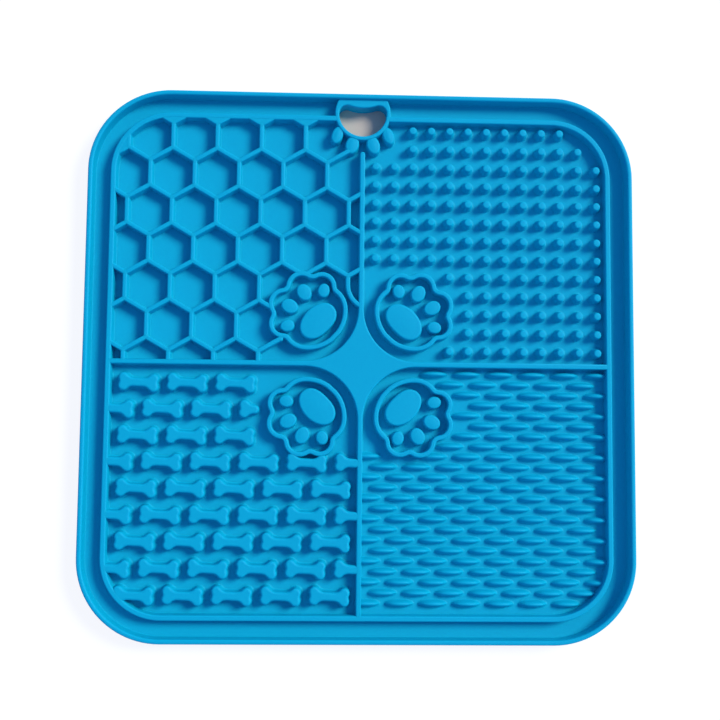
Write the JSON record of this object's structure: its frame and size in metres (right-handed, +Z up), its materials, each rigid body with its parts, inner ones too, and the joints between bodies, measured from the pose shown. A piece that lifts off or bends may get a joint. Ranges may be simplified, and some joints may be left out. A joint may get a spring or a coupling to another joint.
{
  "type": "lick mat",
  "caption": "Square silicone lick mat with honeycomb, nub, bone and fin fields round paw figures and a centre star, inside a raised rim with a gutter and a hang hole.",
  "frame": {"origin": "middle of the flat underside", "axes": "+X to the right and +Y towards the hang hole when the mat is seen from above, +Z up out of the textured side"},
  "size_m": [0.2, 0.2, 0.008],
  "materials": {
    "silicone": "satin"
  },
  "bodies": {
    "root": {"base_sheet": "silicone", "outer_rim": "silicone", "inner_rib": "silicone", "divider_left": "silicone", "divider_right": "silicone", "divider_top": "silicone", "divider_bottom": "silicone", "centre_star": "silicone", "honeycomb_walls": "silicone", "nub_field": "silicone", "bone_field": "silicone", "fin_field": "silicone", "paw_ring_top_right": "silicone", "paw_ring_top_left": "silicone", "paw_ring_bottom_left": "silicone", "paw_ring_bottom_right": "silicone", "paw_pad_top_right": "silicone", "paw_pad_top_left": "silicone", "paw_pad_bottom_left": "silicone", "paw_pad_bottom_right": "silicone", "paw_toes_top_right": "silicone", "paw_toes_top_left": "silicone", "paw_toes_bottom_left": "silicone", "paw_toes_bottom_right": "silicone", "hang_collar": "silicone", "hang_toes": "silicone"}
  },
  "joints": []
}
